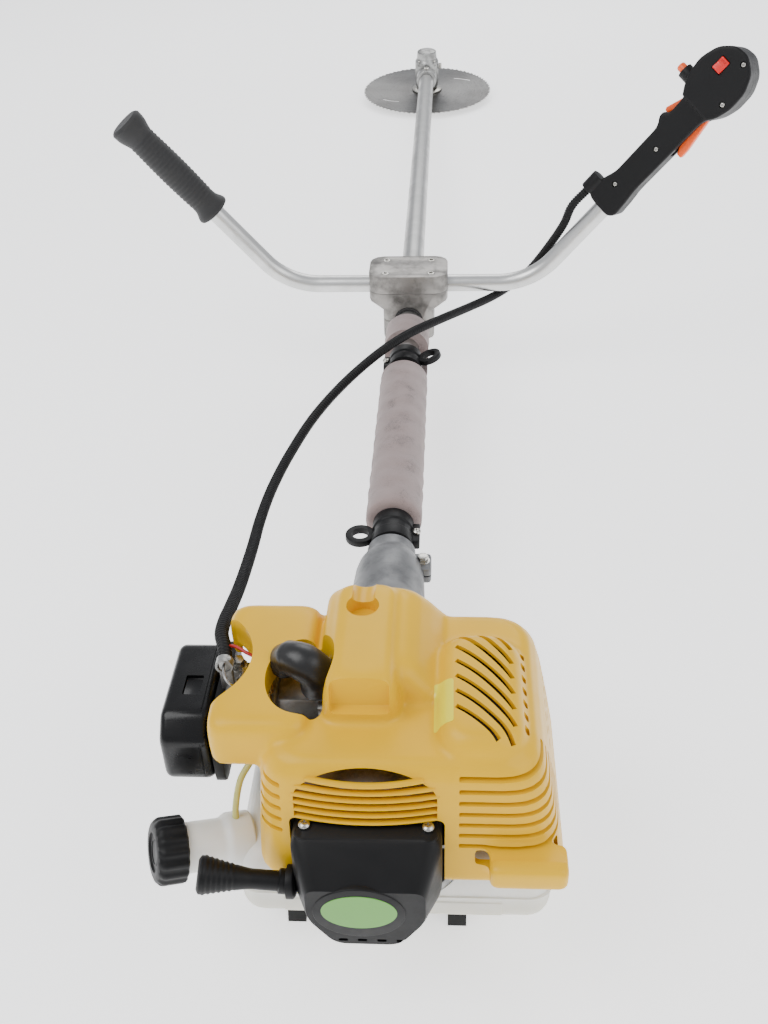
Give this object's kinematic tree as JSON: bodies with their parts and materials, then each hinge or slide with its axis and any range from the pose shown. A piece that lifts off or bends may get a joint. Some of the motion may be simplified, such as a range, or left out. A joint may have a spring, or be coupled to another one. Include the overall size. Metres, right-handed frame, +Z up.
{
  "type": "petrol brush cutter",
  "caption": "Engine-driven brush cutter with a long drive tube, bull-horn handlebar with a throttle grip, and a circular saw blade on an angled gear head.",
  "frame": {"origin": "on the floor, in the middle of the sole of the engine stand's cross member", "axes": "+Y forward along the floor towards the blade, +X to the user's right, +Z up; the machine rests on its stand and on the blade nut, so its tube slopes down towards the blade by 1.7 degrees"},
  "size_m": [0.6825, 2.0375, 0.3896],
  "materials": {
    "yellow_abs": "gloss",
    "black_nylon": "satin",
    "black_rubber": "matte",
    "orange_nylon": "satin",
    "red_nylon": "satin",
    "tank_polyethylene": "satin",
    "drawn_aluminium": "satin",
    "cast_aluminium": "matte",
    "plated_steel": "satin",
    "ground_steel": "satin",
    "dark_steel": "matte",
    "sintered_bronze": "satin",
    "grey_foam": "matte",
    "white_ceramic": "gloss"
  },
  "bodies": {
    "machine": {"engine_cover": "yellow_abs", "air_filter_base": "black_nylon", "air_filter_cover": "black_nylon", "engine_stand": "black_nylon", "starter_housing": "black_nylon", "handle_shell_rear": "black_nylon", "handle_shell_front": "black_nylon", "hanger_ring_upper": "black_nylon", "hanger_ring_lower": "black_nylon", "throttle_conduit": "black_nylon", "spark_plug_boot": "black_rubber", "left_grip": "black_rubber", "clamp_rubber": "black_rubber", "fuel_tank": "tank_polyethylene", "drive_tube": "drawn_aluminium", "handlebar": "drawn_aluminium", "crankcase": "cast_aluminium", "cylinder": "cast_aluminium", "carburettor": "cast_aluminium", "clutch_housing": "cast_aluminium", "gear_case": "cast_aluminium", "clamp_cap": "cast_aluminium", "clamp_body": "cast_aluminium", "clamp_lower": "cast_aluminium", "starter_screw_left": "plated_steel", "starter_screw_right": "plated_steel", "grease_bolt": "plated_steel", "gear_case_screw": "plated_steel", "clamp_screw_1": "plated_steel", "clamp_screw_2": "plated_steel", "clamp_screw_3": "plated_steel", "clamp_screw_4": "plated_steel", "spindle_bearing": "ground_steel", "muffler": "dark_steel", "shaft_bush_rear": "sintered_bronze", "shaft_bush_front": "sintered_bronze", "foam_sleeve": "grey_foam", "spark_plug": "white_ceramic"},
    "crank": {"crankshaft": "ground_steel", "flywheel": "cast_aluminium", "clutch_rotor": "dark_steel"},
    "drive_line": {"clutch_drum": "ground_steel", "drive_shaft": "ground_steel", "pinion_gear": "ground_steel"},
    "blade_spindle": {"output_spindle": "ground_steel", "blade_holder": "plated_steel", "blade": "ground_steel", "blade_washer": "plated_steel", "blade_nut": "plated_steel"},
    "recoil_pulley": {"starter_pulley": "black_nylon"},
    "recoil_pull": {"starter_pull": "black_nylon"},
    "trigger": {"throttle_trigger": "orange_nylon"},
    "carburettor_arm": {"throttle_arm": "plated_steel"},
    "lock_lever": {"trigger_lock": "orange_nylon"},
    "start_button": {"hold_button": "orange_nylon"},
    "rocker": {"stop_switch": "red_nylon"},
    "choke": {"choke_lever": "black_nylon"},
    "bulb": {"primer_bulb": "tank_polyethylene"},
    "filler_cap": {"fuel_cap": "black_nylon"}
  },
  "joints": [
    {"name": "crank_turn", "type": "hinge", "parent": "machine", "child": "crank", "pos_m": [0, 0.00315, 0.10395], "axis": [0, 0.9995, -0.0303], "continuous": true},
    {"name": "drive_turn", "type": "hinge", "parent": "machine", "child": "drive_line", "pos_m": [0, 0.00315, 0.10395], "axis": [0, 0.9995, -0.0303], "continuous": true},
    {"name": "blade_turn", "type": "hinge", "parent": "machine", "child": "blade_spindle", "pos_m": [0, 1.79233, 0.04978], "axis": [0, -0.057, 0.9984], "continuous": true},
    {"name": "recoil_slide", "type": "slide", "parent": "machine", "child": "recoil_pull", "axis": [-0.9744, -0.0789, 0.2104], "range_m": [0, 0.65], "stiffness_N_per_m": 15, "springref_m": -0.3},
    {"name": "recoil_turn", "type": "hinge", "parent": "machine", "child": "recoil_pulley", "pos_m": [0, 0.00315, 0.10395], "axis": [0, -0.9995, 0.0303], "range_deg": [0, 1380]},
    {"name": "trigger_squeeze", "type": "hinge", "parent": "machine", "child": "trigger", "pos_m": [0.30921, 0.68423, 0.31843], "axis": [0.452, 0.8528, -0.2616], "range_deg": [0, 20], "stiffness_Nm_per_rad": 0.12, "springref_deg": -17.19},
    {"name": "throttle_open", "type": "hinge", "parent": "machine", "child": "carburettor_arm", "pos_m": [-0.0875, 0.01491, 0.16192], "axis": [0, -0.0303, -0.9995], "range_deg": [0, 55.2]},
    {"name": "lock_squeeze", "type": "hinge", "parent": "machine", "child": "lock_lever", "pos_m": [0.30331, 0.69015, 0.32754], "axis": [-0.452, -0.8528, 0.2616], "range_deg": [0, 12], "stiffness_Nm_per_rad": 0.05, "springref_deg": -11.46},
    {"name": "start_button_press", "type": "slide", "parent": "machine", "child": "start_button", "axis": [0.6455, -0.5151, -0.5639], "range_m": [0, 0.0035], "stiffness_N_per_m": 300, "springref_m": -0.002},
    {"name": "stop_switch_rock", "type": "hinge", "parent": "machine", "child": "rocker", "pos_m": [0.31871, 0.67001, 0.37067], "axis": [0.6455, -0.5151, -0.5639], "range_deg": [0, 16]},
    {"name": "choke_turn", "type": "hinge", "parent": "machine", "child": "choke", "pos_m": [-0.0895, -0.00563, 0.15424], "axis": [0, -0.9995, 0.0303], "range_deg": [0, 75]},
    {"name": "primer_press", "type": "slide", "parent": "machine", "child": "bulb", "axis": [0, 0.9995, -0.0303], "range_m": [0, 0.0045], "stiffness_N_per_m": 300, "springref_m": -0.001},
    {"name": "cap_unscrew", "type": "hinge", "parent": "machine", "child": "filler_cap", "pos_m": [-0.088, -0.04474, 0.07539], "axis": [-0.8932, -0.3716, 0.2533], "range_deg": [0, 450]}
  ],
  "couplings": [
    {"joint": "drive_turn", "follows": "blade_turn", "ratio": -1.4167},
    {"joint": "recoil_turn", "follows": "recoil_slide", "rad_per_m": 37.037},
    {"joint": "throttle_open", "follows": "trigger_squeeze", "ratio": 2.75}
  ]
}
